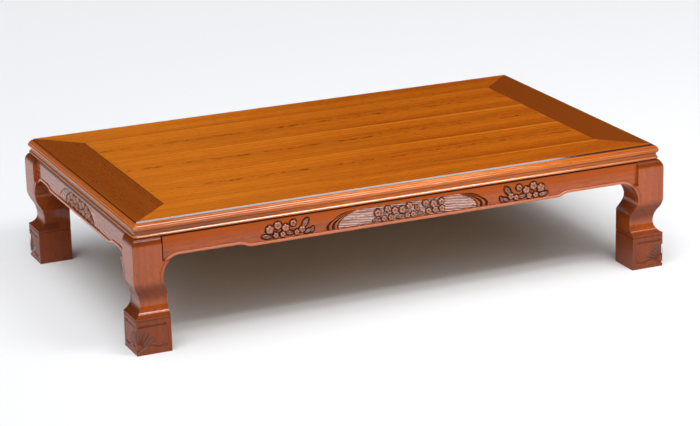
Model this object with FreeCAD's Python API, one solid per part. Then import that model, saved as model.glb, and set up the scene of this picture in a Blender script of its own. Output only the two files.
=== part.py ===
import FreeCAD, Part
import math
import os

# A low floor table: a mitred board top with a moulded edge, on four bowed legs joined by carved aprons.
# X runs along the table, Y across it, Z up. The origin is on the floor at the middle. Front is -Y.

# Overall sizes, taken over the outer faces of the legs
length = 1500.0
depth = 900.0
height = 340.0

# Fits
overrun = 5.0
joint_clearance = 0.2

# Table top
field_inset = 20.0
border_width = 114.0
board_thickness = 4.0
board_arris = 0.5
field_board_count = 3
core_thickness = 28.0
rail_thickness = 9.0
rail_width = 60.0

# Edge moulding, whose outline is given as shares of its reach and of its height
moulding_reach = 14.0
shadow_gap = 1.0
tongue_depth = 8.0
tongue_thickness = 8.0
shelf_share = 0.14
moulding_arc_shares = [
    ((0.36, 0.025), (0.46, 0.10)),
    ((0.68, 0.125), (0.77, 0.20)),
    ((1.00, 0.34), (0.79, 0.49)),
    ((0.50, 0.63), (0.57, 0.79)),
    ((0.82, 0.895), (0.57, 1.00)),
]

# Aprons
apron_height = 63.0
apron_set_back = 10.0
apron_thickness = 19.0
apron_rise = 9.0
step_run = 36.0
long_step_from_leg = 206.0
short_step_from_leg = 91.0
bead_width = 8.0
bead_proud = 3.0
bead_round = 2.8
tenon_length = 20.0
tenon_thickness = 9.0
tenon_shoulder = 12.0

# Carved panels sunk in the aprons
panel_depth = 2.0
panel_foot_gap = 1.5
panel_head_gap = 11.0
panel_bow_share = 0.42
panel_lift_share = 0.72
long_panel_foot = 476.0
long_panel_head = 320.0
short_panel_foot = 342.0
short_panel_head = 164.0

# Legs
post_width = 77.0
foot_width = 92.0
shoulder_drop = 23.0
shoulder_set_back = 11.0
knee_radius = 60.0
neck_recess = 20.0
neck_radius = 68.0
sweep_drop = 31.0
hollow_radius = 50.0
horn_drop = 10.0
kink_drop = 44.0
neck_drop = 25.0
post_chamfer = 14.0
foot_line_drop = 7.0
foot_line_width = 2.0
foot_line_depth = 1.5
edge_line_inset = 8.0
edge_line_radius = 1.6

# Corner blocks and the bolts that pull the legs in
block_thickness = 28.0
block_drop = 2.0
block_height = 42.0
bolt_diameter = 8.0
bolt_in_leg = 40.0
bolt_spacing = 21.0
bolt_tail = 4.0
washer_diameter = 17.0
washer_thickness = 1.6
nut_across_flats = 13.0
nut_height = 6.5

# Screws, all with the same shank and head
screw_diameter = 4.0
screw_head_diameter = 8.0
screw_head_height = 2.6
pocket_clearance = 1.0
block_screw_seat = 12.0
block_screw_bite = 13.0
block_screw_spacing = 19.0
block_screw_inset = 20.0

# Buttons that hold the top down on the aprons
button_length = 40.0
button_width = 24.0
button_height = 20.0
button_tongue = 6.0
button_tongue_drop = 9.0
button_screw_bite = 13.0
long_button_shares = [-0.45, 0.0, 0.45]
short_button_shares = [-0.42, 0.42]

# Battens under the core
batten_width = 42.0
batten_height = 24.0
batten_end_gap = 0.3
batten_screw_bite = 15.0
batten_screw_seat = 14.0
batten_names = ["left", "middle", "right"]
batten_place_shares = [-0.55, 0.0, 0.55]
batten_screw_shares = [-0.8, 0.0, 0.8]

half_length = length / 2
half_depth = depth / 2
core_top = height - board_thickness
core_bottom = core_top - core_thickness
base_top = core_bottom - rail_thickness
field_half_length = half_length - field_inset
field_half_depth = half_depth - field_inset
apron_low = base_top - apron_height
apron_high = apron_low + apron_rise
ledge = apron_high - horn_drop
apron_back = apron_set_back + apron_thickness
hollow_centre = (post_width + hollow_radius, apron_high - hollow_radius)
kink_height = hollow_centre[1] - kink_drop
neck_height = kink_height - neck_drop
full_turn = 360.0
right_angle = full_turn / 4
across = FreeCAD.Vector(1, 0, 0)
along = FreeCAD.Vector(0, 1, 0)
up = FreeCAD.Vector(0, 0, 1)
middle = FreeCAD.Vector(0, 0, 0)
nodes = {}


def face_of(start, steps, place):
    """A face bounded by lines and arcs. A step is an end point, or the middle and end of an arc."""
    edges = []
    here = start
    for step in steps + [start]:
        if isinstance(step[0], tuple):
            bend, end = step
            edges.append(Part.Arc(place(*here), place(*bend), place(*end)).toShape())
        else:
            end = step
            edges.append(Part.LineSegment(place(*here), place(*end)).toShape())
        here = end
    return Part.Face(Part.Wire(edges))


def on_circle(centre, radius, angle):
    return (centre[0] + radius * math.cos(angle), centre[1] + radius * math.sin(angle))


def box(low, high):
    """A box between two opposite corners."""
    sizes = [high[axis] - low[axis] for axis in range(3)]
    return Part.makeBox(*sizes, FreeCAD.Vector(*low))


def to_right_side(shape):
    """Turns a piece made for the back side so that it stands on the right side."""
    turned = shape.copy()
    turned.rotate(middle, up, -right_angle)
    return turned


def four_sides(name, make, long_values, short_values):
    """Makes the back piece and the right piece, and mirrors them to the front and the left."""
    back = make(half_length, half_depth, *long_values)
    right = to_right_side(make(half_depth, half_length, *short_values))
    nodes[name + "_back"] = back
    nodes[name + "_front"] = back.mirror(middle, along)
    nodes[name + "_right"] = right
    nodes[name + "_left"] = right.mirror(middle, across)


def at_corners(shape):
    """The four mirrored copies of a piece made for the back right corner."""
    right_front = shape.mirror(middle, along)
    return {
        "back_right": shape,
        "front_right": right_front,
        "back_left": shape.mirror(middle, across),
        "front_left": right_front.mirror(middle, across),
    }


def mitred_bar(half_run, half_reach, width, low, high):
    """A bar along the back side, with both ends mitred at 45 degrees."""
    inner_run = half_run - width
    inner_reach = half_reach - width
    outline = [(half_run, half_reach), (inner_run, inner_reach), (-inner_run, inner_reach)]
    face = face_of((-half_run, half_reach), outline, lambda x, y: FreeCAD.Vector(x, y, low))
    return face.extrude(up * (high - low))


def ease_top(board):
    """Takes the sharp arris off a board's upper edges, which leaves a fine line at each joint."""
    top = max(edge.BoundBox.ZMin for edge in board.Edges)
    upper = [edge for edge in board.Edges if edge.BoundBox.ZMin > top - board_arris]
    return board.makeChamfer(board_arris, upper)


# Table top: boards, core and rim rails
def border_board(half_run, half_reach):
    bar = mitred_bar(half_run - field_inset, half_reach - field_inset, border_width, core_top, height)
    return ease_top(bar)


def rim_rail(half_run, half_reach):
    return mitred_bar(half_run - field_inset, half_reach - field_inset, rail_width, base_top, core_bottom)


four_sides("border_board", border_board, [], [])
four_sides("rim_rail", rim_rail, [], [])

field_half_run = field_half_length - border_width
field_width = 2 * (field_half_depth - border_width) / field_board_count
for number in range(field_board_count):
    near = border_width - field_half_depth + number * field_width
    board = box((-field_half_run, near, core_top), (field_half_run, near + field_width, height))
    nodes["field_board_%d" % (number + 1)] = ease_top(board)

core = box((-field_half_length, -field_half_depth, core_bottom),
           (field_half_length, field_half_depth, core_top))


# Edge moulding: reeded nose, cove and lower bead, carried round each corner to the mitre
moulding_bottom = base_top + shadow_gap
moulding_height = core_top - moulding_bottom
tongue_low = core_bottom + (core_thickness - tongue_thickness) / 2


def moulding_face(place):
    def at(shares):
        return (shares[0] * moulding_reach, core_top - shares[1] * moulding_height)

    steps = [at((shelf_share, 0))]
    steps += [(at(bend), at(end)) for bend, end in moulding_arc_shares]
    steps.append((0, moulding_bottom))
    return face_of((0, core_top), steps, place)


def edge_moulding(half_run, half_reach):
    run = half_run - field_inset
    reach = half_reach - field_inset
    strip = moulding_face(lambda out, z: FreeCAD.Vector(-run, reach + out, z)).extrude(across * (2 * run))
    for side in (-1, 1):
        centre = FreeCAD.Vector(side * run, reach, 0)
        end = moulding_face(lambda out, z: FreeCAD.Vector(side * run, reach + out, z))
        strip = strip.fuse(end.revolve(centre, up, -side * right_angle / 2))
    tongue_run = run - tongue_depth - joint_clearance
    tongue = box((-tongue_run, reach - tongue_depth, tongue_low),
                 (tongue_run, reach, tongue_low + tongue_thickness))
    return strip.fuse(tongue).removeSplitter()


def core_groove(half_run, half_reach):
    reach = half_reach - field_inset
    run = half_run - field_inset
    return box((-run, reach - tongue_depth - joint_clearance, tongue_low - joint_clearance),
               (run, reach + overrun, tongue_low + tongue_thickness + joint_clearance))


four_sides("edge_moulding", edge_moulding, [], [])
back_groove = core_groove(half_length, half_depth)
right_groove = to_right_side(core_groove(half_depth, half_length))
core = core.cut([back_groove, back_groove.mirror(middle, along),
                 right_groove, right_groove.mirror(middle, across)])


# Aprons: stepped lower edge with a raised bead, sunk panel and a stub tenon at each end
def lower_edge(half_run, step_from_leg, lift):
    """Steps along the right half of an apron's lower edge, from the leg to the middle, raised by lift."""
    centre = (half_run - hollow_centre[0], hollow_centre[1])
    radius = hollow_radius + lift
    start_angle = math.asin((ledge - centre[1]) / radius)
    top_angle = math.pi / 2
    start = on_circle(centre, radius, start_angle)
    bracket = (on_circle(centre, radius, (start_angle + top_angle) / 2),
               on_circle(centre, radius, top_angle))
    step_outer = half_run - post_width - step_from_leg
    step_inner = step_outer - step_run
    step_radius = (step_run ** 2 + apron_rise ** 2) / (4 * apron_rise)
    half_swing = math.asin(step_run / 2 / step_radius) / 2
    upper_centre = (step_outer, apron_high - step_radius)
    lower_centre = (step_inner, apron_low + step_radius)
    swell = step_radius + lift
    scoop = step_radius - lift
    upper_bend = (on_circle(upper_centre, swell, top_angle + half_swing),
                  on_circle(upper_centre, swell, top_angle + 2 * half_swing))
    lower_bend = (on_circle(lower_centre, scoop, half_swing - top_angle),
                  on_circle(lower_centre, scoop, -top_angle))
    return start, [bracket, (step_outer, apron_high + lift), upper_bend, lower_bend]


def flipped(start, steps):
    """The same run of lines and arcs, mirrored to the other half."""
    def flip(step):
        if isinstance(step[0], tuple):
            return (flip(step[0]), flip(step[1]))
        return (-step[0], step[1])

    return flip(start), [flip(step) for step in steps]


def turned_back(start, steps):
    """The same run of lines and arcs, followed from its end to its start."""
    points = [start]
    bends = []
    for step in steps:
        curved = isinstance(step[0], tuple)
        points.append(step[1] if curved else step)
        bends.append(step[0] if curved else None)
    ways = zip(reversed(bends), reversed(points[:-1]))
    return points[-1], [(bend, end) if bend else end for bend, end in ways]


def whole_lower_edge(half_run, step_from_leg, lift):
    start, steps = lower_edge(half_run, step_from_leg, lift)
    turn, left_steps = turned_back(*flipped(start, steps))
    return start, steps + [turn] + left_steps


def apron(half_run, half_reach, step_from_leg, panel_foot, panel_head, button_shares):
    joint = half_run - post_width
    front = half_reach - apron_set_back

    def on_front(x, z):
        return FreeCAD.Vector(x, front, z)

    start, lower = whole_lower_edge(half_run, step_from_leg, 0)
    outline = [start] + lower + [(-joint, ledge), (-joint, base_top), (joint, base_top)]
    plate = face_of((joint, ledge), outline, on_front).extrude(along * -apron_thickness)

    bead_end, bead_way = turned_back(*whole_lower_edge(half_run, step_from_leg, bead_width))
    band_face = face_of(start, lower + [bead_end] + bead_way, on_front)
    band = band_face.extrude(along * bead_proud)
    crest = [edge for edge in band.Edges if edge.BoundBox.YMin > front + bead_proud - joint_clearance]
    long_crest = [edge for edge in crest if edge.BoundBox.ZMax > ledge + joint_clearance]
    plate = plate.fuse(band.makeFillet(bead_round, long_crest))

    foot = apron_low + bead_width + panel_foot_gap
    head = base_top - panel_head_gap
    spread = panel_foot / 2 - panel_head / 2
    bend_x = panel_head / 2 + spread * (1 - panel_bow_share)
    bend_z = foot + (head - foot) * panel_lift_share
    panel = face_of((panel_foot / 2, foot),
                    [((bend_x, bend_z), (panel_head / 2, head)), (-panel_head / 2, head),
                     ((-bend_x, bend_z), (-panel_foot / 2, foot))], on_front)
    plate = plate.cut(panel.extrude(along * -panel_depth))

    tenon_back = half_reach - apron_back + (apron_thickness - tenon_thickness) / 2
    for side in (-1, 1):
        ends = sorted((side * joint, side * (joint + tenon_length)))
        tenon = box((ends[0], tenon_back, ledge + tenon_shoulder),
                    (ends[1], tenon_back + tenon_thickness, base_top - tenon_shoulder))
        plate = plate.fuse(tenon)
    slots = [button_slot(joint * share, half_reach) for share in button_shares]
    return plate.cut(slots).removeSplitter()


# Buttons: each has a tongue in a slot in the apron and is screwed up into the rim
button_top = base_top
button_low = button_top - button_height
slot_high = button_top - button_tongue_drop
slot_low = slot_high - button_tongue


def button_slot(place, half_reach):
    back = half_reach - apron_back
    half = button_length / 2 + joint_clearance
    return box((place - half, back - overrun, slot_low - joint_clearance),
               (place + half, back + button_tongue + joint_clearance, slot_high + joint_clearance))


def button(place, half_reach):
    back = half_reach - apron_back
    half = button_length / 2
    block = box((place - half, back - button_width, button_low), (place + half, back, button_top))
    tongue = box((place - half, back, slot_low), (place + half, back + button_tongue, slot_high))
    hole = upright_hole(place, back - button_width / 2, button_low)
    return block.fuse(tongue).cut(hole)


# Screws: a shank and a cone head, set along any direction
def screw(seat, direction, shank):
    """A screw whose head starts at seat and whose shank runs along direction."""
    head = Part.makeCone(screw_head_diameter / 2, screw_diameter / 2, screw_head_height, seat, direction)
    body = Part.makeCylinder(screw_diameter / 2, shank, seat, direction)
    return head.fuse(body).removeSplitter()


def loose_hole(seat, direction, reach):
    """The hole that a screw passes through freely, countersunk for its head."""
    sink = Part.makeCone(screw_head_diameter / 2, screw_diameter / 2, screw_head_height, seat, direction)
    return sink.fuse(Part.makeCylinder(screw_diameter / 2 + joint_clearance, reach, seat, direction))


def upright_hole(x, y, low):
    return loose_hole(FreeCAD.Vector(x, y, low), up, button_height + overrun)


def button_screw(place, half_reach):
    seat = FreeCAD.Vector(place, half_reach - apron_back - button_width / 2, button_low)
    return screw(seat, up, button_height + rail_thickness + button_screw_bite)


def on_all_sides(make):
    """Small pieces along all four aprons, as one list."""
    joints = (half_length - post_width, half_depth - post_width)
    pieces = []
    for share in long_button_shares:
        back = make(joints[0] * share, half_depth)
        pieces += [back, back.mirror(middle, along)]
    for share in short_button_shares:
        right = to_right_side(make(joints[1] * share, half_length))
        pieces += [right, right.mirror(middle, across)]
    return pieces


buttons = on_all_sides(button)
button_screws = on_all_sides(button_screw)
nodes["top_buttons"] = Part.makeCompound(buttons)
nodes["button_screws"] = Part.makeCompound(button_screws)
long_apron = [long_step_from_leg, long_panel_foot, long_panel_head, long_button_shares]
short_apron = [short_step_from_leg, short_panel_foot, short_panel_head, short_button_shares]
four_sides("apron", apron, long_apron, short_apron)


# Legs: the same bowed outline sawn through from two faces
def leg_outline():
    """The leg's side outline, as distance in from the outer face and height."""
    shoulder_radius = (shoulder_drop ** 2 + shoulder_set_back ** 2) / (2 * shoulder_set_back)
    shoulder_centre = (shoulder_radius, base_top - shoulder_drop)
    swing = math.asin(shoulder_drop / shoulder_radius)
    shoulder_bend = on_circle(shoulder_centre, shoulder_radius, math.pi - swing / 2)

    neck_centre = (neck_recess - neck_radius, neck_height)
    knee_offset = knee_radius - neck_centre[0]
    knee_rise = math.sqrt((neck_radius + knee_radius) ** 2 - knee_offset ** 2)
    knee_centre = (knee_radius, neck_height + knee_rise)
    lean = math.atan2(knee_rise, knee_offset)
    knee_end = on_circle(neck_centre, neck_radius, lean)
    knee_bend = on_circle(knee_centre, knee_radius, math.pi + lean / 2)
    neck_bend = on_circle(neck_centre, neck_radius, lean / 2)

    sweep_radius = (sweep_drop ** 2 + neck_recess ** 2) / (2 * neck_recess)
    sweep_centre = (neck_recess - sweep_radius, neck_height)
    sweep_swing = math.asin(sweep_drop / sweep_radius)
    sweep_bend = on_circle(sweep_centre, sweep_radius, -sweep_swing / 2)
    foot_top = neck_height - sweep_drop

    kink_run = math.hypot(foot_width - hollow_centre[0], kink_height - hollow_centre[1])
    kink_way = math.atan2(kink_height - hollow_centre[1], foot_width - hollow_centre[0])
    whole_turns = round(kink_way / math.tau - 1 / 2)
    hollow_low = kink_way - math.acos(hollow_radius / kink_run) - math.tau * whole_turns
    hollow_high = math.pi - math.asin((ledge - hollow_centre[1]) / hollow_radius)
    horn = on_circle(hollow_centre, hollow_radius, hollow_high)
    hollow_bend = on_circle(hollow_centre, hollow_radius, (hollow_low + hollow_high) / 2)
    hollow_end = on_circle(hollow_centre, hollow_radius, hollow_low)

    start = (shoulder_set_back, base_top)
    steps = [(shoulder_bend, (0, shoulder_centre[1])), (0, knee_centre[1]), (knee_bend, knee_end),
             (neck_bend, (neck_recess, neck_height)), (sweep_bend, (0, foot_top)), (0, 0), (foot_width, 0),
             (foot_width, kink_height), hollow_end, (hollow_bend, horn), (post_width, ledge),
             (post_width, base_top)]
    return start, steps, foot_top, max(foot_width, horn[0])


def leg():
    """The leg at the back right corner, before its bolt holes."""
    start, steps, foot_top, reach = leg_outline()
    side = face_of(start, steps, lambda u, z: FreeCAD.Vector(half_length - u, half_depth, z))
    end = face_of(start, steps, lambda u, z: FreeCAD.Vector(half_length, half_depth - u, z))
    wood = side.extrude(along * -reach).common(end.extrude(across * -reach))

    inner = foot_width - foot_line_depth
    line_low = foot_top - foot_line_drop
    line = box((half_length - foot_width - overrun, half_depth - foot_width - overrun, line_low),
               (half_length + overrun, half_depth + overrun, line_low + foot_line_width))
    kept = box((half_length - inner, half_depth - inner, line_low),
               (half_length - foot_line_depth, half_depth - foot_line_depth, line_low + foot_line_width))
    wood = wood.cut(line.cut(kept))

    ring = hollow_radius + edge_line_inset
    side_line = FreeCAD.Vector(half_length - hollow_centre[0], half_depth, hollow_centre[1])
    end_line = FreeCAD.Vector(half_length, half_depth - hollow_centre[0], hollow_centre[1])
    wood = wood.cut([Part.makeTorus(ring, edge_line_radius, side_line, along),
                     Part.makeTorus(ring, edge_line_radius, end_line, across)])

    corner = (half_length - post_width, half_depth - post_width)
    chamfer_ends = [(corner[0] + post_chamfer, corner[1]), (corner[0], corner[1] + post_chamfer)]
    chamfer = face_of(corner, chamfer_ends, lambda x, y: FreeCAD.Vector(x, y, ledge))
    wood = wood.cut(chamfer.extrude(up * (base_top - ledge + overrun)))

    deep = tenon_length + joint_clearance
    tenon_near = apron_set_back + (apron_thickness - tenon_thickness) / 2 - joint_clearance
    tenon_far = tenon_near + tenon_thickness + 2 * joint_clearance
    low = ledge + tenon_shoulder - joint_clearance
    high = base_top - tenon_shoulder + joint_clearance
    mortises = [box((half_length - post_width - overrun, half_depth - tenon_far, low),
                    (half_length - post_width + deep, half_depth - tenon_near, high)),
                box((half_length - tenon_far, half_depth - post_width - overrun, low),
                    (half_length - tenon_near, half_depth - post_width + deep, high))]
    return wood.cut(mortises)


# Corner block, with the hanger bolts, washers and nuts that draw the leg against it
root_two = math.sqrt(2)
diagonal = FreeCAD.Vector(1, 1, 0) / root_two
block_face = 2 * post_width - post_chamfer
block_top = base_top - block_drop
block_low = block_top - block_height
block_centre = block_top - block_height / 2
block_rear = block_face + block_thickness * root_two


def at_inset(inset_x, inset_y, z):
    return FreeCAD.Vector(half_length - inset_x, half_depth - inset_y, z)


def on_diagonal(inset_sum, z):
    return at_inset(inset_sum / 2, inset_sum / 2, z)


def corner_block():
    outline = [(apron_back, block_face - apron_back), (apron_back, block_rear - apron_back),
               (block_rear - apron_back, apron_back)]
    face = face_of((block_face - apron_back, apron_back), outline, lambda u, v: at_inset(u, v, block_low))
    return face.extrude(up * block_height)


def hex_nut(start):
    """A plain six-sided nut along the diagonal, round its bolt."""
    corner_radius = nut_across_flats / math.sqrt(3)
    turn = math.tau / 6
    corners = [on_circle((0, 0), corner_radius, count * turn) for count in range(6)]
    face = face_of(corners[0], corners[1:], lambda a, b: FreeCAD.Vector(a, b, 0))
    nut = face.extrude(up * nut_height).cut(Part.makeCylinder(bolt_diameter / 2, nut_height))
    nut.Placement = FreeCAD.Placement(start, FreeCAD.Rotation(up, -diagonal))
    return nut


bolt_heights = [block_centre - bolt_spacing / 2, block_centre + bolt_spacing / 2]
washer_face = block_rear + washer_thickness * root_two
nut_face = washer_face + nut_height * root_two
bolt_end = nut_face + bolt_tail * root_two
bolts = []
washers = []
nuts = []
block_holes = []
for bolt_height in bolt_heights:
    tail = on_diagonal(bolt_end, bolt_height)
    shank = (bolt_end - block_face) / root_two + bolt_in_leg
    bolts.append(Part.makeCylinder(bolt_diameter / 2, shank, tail, diagonal))
    block_holes.append(Part.makeCylinder(bolt_diameter / 2 + joint_clearance, shank, tail, diagonal))
    washer_start = on_diagonal(washer_face, bolt_height)
    disc = Part.makeCylinder(washer_diameter / 2, washer_thickness, washer_start, diagonal)
    washers.append(disc.cut(block_holes[-1]))
    nuts.append(hex_nut(on_diagonal(washer_face, bolt_height)))

block_screws = []
screw_place = block_rear - apron_back - block_screw_inset
screw_seat = apron_back + block_screw_seat
pocket_radius = screw_head_diameter / 2 + pocket_clearance
for offset in (-block_screw_spacing / 2, block_screw_spacing / 2):
    for direction, seat in ((along, at_inset(screw_place, screw_seat, block_centre + offset)),
                            (across, at_inset(screw_seat, screw_place, block_centre + offset))):
        block_screws.append(screw(seat, direction, block_screw_seat + block_screw_bite))
        block_holes.append(loose_hole(seat, direction, block_screw_seat + overrun))
        block_holes.append(Part.makeCylinder(pocket_radius, block_rear, seat, -direction))

for name, shape in at_corners(leg().cut(bolts)).items():
    nodes["leg_" + name] = shape
for name, shape in at_corners(corner_block().cut(block_holes)).items():
    nodes["corner_block_" + name] = shape


def at_every_corner(pieces):
    return [copy for piece in pieces for copy in at_corners(piece).values()]


nodes["leg_hanger_bolts"] = Part.makeCompound(at_every_corner(bolts))
nodes["leg_bolt_washers"] = Part.makeCompound(at_every_corner(washers))
nodes["leg_bolt_nuts"] = Part.makeCompound(at_every_corner(nuts))
corner_screws = at_every_corner(block_screws)
nodes["corner_block_screws"] = Part.makeCompound(corner_screws)

# Battens across the underside, between the rim rails
batten_half = field_half_depth - rail_width - batten_end_gap
batten_low = core_bottom - batten_height
batten_screws = []
for name, place_share in zip(batten_names, batten_place_shares):
    x = place_share * field_half_run
    batten = box((x - batten_width / 2, -batten_half, batten_low),
                 (x + batten_width / 2, batten_half, core_bottom))
    for screw_share in batten_screw_shares:
        seat = FreeCAD.Vector(x, screw_share * batten_half, core_bottom - batten_screw_seat)
        batten_screws.append(screw(seat, up, batten_screw_seat + batten_screw_bite))
        pocket = Part.makeCylinder(pocket_radius, batten_height, seat, -up)
        batten = batten.cut([loose_hole(seat, up, batten_height), pocket])
    nodes["batten_" + name] = batten
nodes["batten_screws"] = Part.makeCompound(batten_screws)

# Pilot holes: each screw bites in a hole of its own size
nodes["top_core"] = core.cut(batten_screws + button_screws)
for side in ("front", "back", "left", "right"):
    nodes["rim_rail_" + side] = nodes["rim_rail_" + side].cut(button_screws)
    nodes["apron_" + side] = nodes["apron_" + side].cut(corner_screws)

os.makedirs("parts", exist_ok=True)
for name, shape in nodes.items():
    shape.exportStep("parts/%s.step" % name)
    print(name, len(shape.Solids), round(shape.Volume), shape.isValid())
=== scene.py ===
import bpy
import math
from mathutils import Matrix, Vector


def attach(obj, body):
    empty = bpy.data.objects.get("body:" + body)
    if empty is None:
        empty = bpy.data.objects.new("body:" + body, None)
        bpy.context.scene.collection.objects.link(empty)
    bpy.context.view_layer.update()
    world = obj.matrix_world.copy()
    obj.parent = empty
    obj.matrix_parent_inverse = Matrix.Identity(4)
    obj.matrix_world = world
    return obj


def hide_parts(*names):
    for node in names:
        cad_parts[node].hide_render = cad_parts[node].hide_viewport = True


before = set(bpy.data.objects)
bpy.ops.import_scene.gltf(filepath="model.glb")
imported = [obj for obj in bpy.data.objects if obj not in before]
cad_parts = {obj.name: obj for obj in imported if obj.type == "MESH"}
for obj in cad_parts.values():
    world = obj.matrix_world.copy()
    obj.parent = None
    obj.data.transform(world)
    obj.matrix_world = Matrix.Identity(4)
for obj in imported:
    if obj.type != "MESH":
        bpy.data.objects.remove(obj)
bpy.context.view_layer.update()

# Table top boards: three long field boards between mitred border boards, sawn thin and glued on the core.
# They are close-grained wood stained orange brown, with the grain along each board, under a gloss lacquer.


def feed(tree, socket, value):
    """Links an output to a socket, or writes a plain value in it."""
    if isinstance(value, bpy.types.NodeSocket):
        tree.links.new(value, socket)
    else:
        socket.default_value = value


def feed_all(tree, node, values):
    """Feeds the sockets of one node by their names."""
    for name, value in values.items():
        feed(tree, node.inputs[name], value)


def reckon(tree, operation, first, second=0.0, clamp=False):
    """The outcome of one operation on numbers or outputs."""
    node = tree.nodes.new("ShaderNodeMath")
    node.operation = operation
    node.use_clamp = clamp
    feed(tree, node.inputs[0], first)
    feed(tree, node.inputs[1], second)
    return node.outputs[0]


def ramp(tree, value, low, high, start=0.0, end=1.0, eased=True):
    """A value carried from one range to another, with eased or plain ends."""
    node = tree.nodes.new("ShaderNodeMapRange")
    node.interpolation_type = "SMOOTHSTEP" if eased else "LINEAR"
    feed_all(tree, node, {"Value": value, "From Min": low, "From Max": high, "To Min": start, "To Max": end})
    return node.outputs["Result"]


def mixed(tree, share, first, second):
    """Two colours mixed, by the share of the second."""
    node = tree.nodes.new("ShaderNodeMix")
    node.data_type = "RGBA"
    colours = [socket for socket in node.inputs if socket.type == "RGBA"]
    for socket, value in zip([node.inputs["Factor"]] + colours, (share, first, second)):
        feed(tree, socket, value)
    return [socket for socket in node.outputs if socket.type == "RGBA"][0]


def axes(tree, place):
    """The three parts of a place, by their letters."""
    node = tree.nodes.new("ShaderNodeSeparateXYZ")
    feed(tree, node.inputs[0], place)
    return node.outputs


def stretched_noise(tree, place, scales, detail):
    """Noise with its own scale along each axis."""
    stretch = tree.nodes.new("ShaderNodeVectorMath")
    stretch.operation = "MULTIPLY"
    feed(tree, stretch.inputs[0], place)
    feed(tree, stretch.inputs[1], scales)
    noise = tree.nodes.new("ShaderNodeTexNoise")
    feed_all(tree, noise, {"Vector": stretch.outputs[0], "Scale": 1.0, "Detail": detail})
    return noise.outputs["Fac"]


def new_group(name, inputs, outputs):
    """An empty node group with the sockets listed, each by its name and kind."""
    group = bpy.data.node_groups.new(name, "ShaderNodeTree")
    for way, sockets in (("INPUT", inputs), ("OUTPUT", outputs)):
        for socket, kind in sockets.items():
            group.interface.new_socket(socket, in_out=way, socket_type="NodeSocket" + kind)
    return group, group.nodes.new("NodeGroupInput").outputs, group.nodes.new("NodeGroupOutput").inputs


def grouped(tree, group, values):
    """The outputs of a node group laid in a finish."""
    node = tree.nodes.new("ShaderNodeGroup")
    node.node_tree = group
    feed_all(tree, node, values)
    return node.outputs


def wood_grain_group():
    """Grain along X: growth lines, fibres and pores, as a colour, a roughness and a height."""
    inputs = {"Vector": "Vector", "Light": "Color", "Dark": "Color", "Pore": "Color", "Line size": "Float",
              "Figure": "Float"}
    outputs = {"Color": "Color", "Roughness": "Float", "Height": "Float"}
    tree, given, result = new_group("wood grain", inputs, outputs)
    place = given["Vector"]
    split = axes(tree, place)
    swirl = reckon(tree, "SUBTRACT", stretched_noise(tree, place, (0.9, 5.0, 5.0), 2.0), 0.5)
    bend = reckon(tree, "MULTIPLY", swirl, given["Figure"])
    lean = reckon(tree, "MULTIPLY", split["Z"], 0.6)
    across = reckon(tree, "ADD", reckon(tree, "ADD", split["Y"], bend), lean)
    ring = reckon(tree, "FRACT", reckon(tree, "DIVIDE", across, given["Line size"]))
    fibre = stretched_noise(tree, place, (22.0, 420.0, 420.0), 3.0)
    broad = stretched_noise(tree, place, (1.1, 21.0, 21.0), 4.0)
    spots = ramp(tree, stretched_noise(tree, place, (60.0, 900.0, 900.0), 1.0), 0.55, 0.65)
    early = reckon(tree, "MULTIPLY", ramp(tree, ring, 0.55, 0.05), 0.75)
    pore = reckon(tree, "MULTIPLY", spots, reckon(tree, "ADD", early, 0.15))
    shade = reckon(tree, "MULTIPLY", ramp(tree, ring, 0.35, 1.0), 0.30)
    for part, share in ((fibre, 0.34), (broad, 0.46)):
        shade = reckon(tree, "ADD", shade, reckon(tree, "MULTIPLY", ramp(tree, part, 0.3, 0.7), share))
    wood = mixed(tree, shade, given["Light"], given["Dark"])
    feed(tree, result["Color"], mixed(tree, pore, wood, given["Pore"]))
    feed(tree, result["Roughness"], reckon(tree, "ADD", reckon(tree, "MULTIPLY", shade, 0.10), 0.30))
    feed(tree, result["Height"], reckon(tree, "SUBTRACT", reckon(tree, "MULTIPLY", fibre, 0.15), pore))
    return tree


wood_grain = wood_grain_group()
# The tones of a wood are its light wood, its dark wood and its pores.
top_light = (0.68, 0.180, 0.011, 1.0)
top_dark = (0.30, 0.056, 0.003, 1.0)
top_pore = (0.14, 0.026, 0.003, 1.0)
top_tones = (top_light, top_dark, top_pore)
end_dark = (0.215, 0.045, 0.005, 1.0)
end_pore = (0.20, 0.042, 0.005, 1.0)
left_end_tones = ((0.29, 0.066, 0.007, 1.0), end_dark, end_pore)
# The right end board has darker tones than the left one: painted shade.
right_end_painted_shade_tones = ((0.23, 0.048, 0.004, 1.0), end_dark, end_pore)
along_x = (0.0, 0.0, 0.0)
along_y = (0.0, 0.0, -math.pi / 2)
along_z = (0.0, math.pi / 2, 0.0)
grain_bump = {"Strength": 0.12, "Distance": 0.0004}
gloss_lacquer = {"Specular IOR Level": 0.0, "Coat Weight": 1.0, "Coat Roughness": 0.07}


def lacquered_wood(name, tones, grain_turn, grain_start, line_size, figure):
    """Stained wood under a clear gloss lacquer, with its grain turned and started for one piece."""
    material = bpy.data.materials.new(name)
    material.use_nodes = True
    tree = material.node_tree
    shader = tree.nodes["Principled BSDF"]
    place = tree.nodes.new("ShaderNodeTexCoord").outputs["Object"]
    turn = tree.nodes.new("ShaderNodeMapping")
    feed_all(tree, turn, {"Vector": place, "Rotation": grain_turn, "Location": grain_start})
    light, dark, pore = tones
    grain = grouped(tree, wood_grain, {"Vector": turn.outputs["Vector"], "Light": light, "Dark": dark,
                                       "Pore": pore, "Line size": line_size, "Figure": figure})
    bump = tree.nodes.new("ShaderNodeBump")
    feed_all(tree, bump, grain_bump)
    feed(tree, bump.inputs["Height"], grain["Height"])
    feed_all(tree, shader, {"Base Color": grain["Color"], "Roughness": grain["Roughness"],
                            "Normal": bump.outputs["Normal"]})
    feed_all(tree, shader, gloss_lacquer)
    return material


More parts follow.
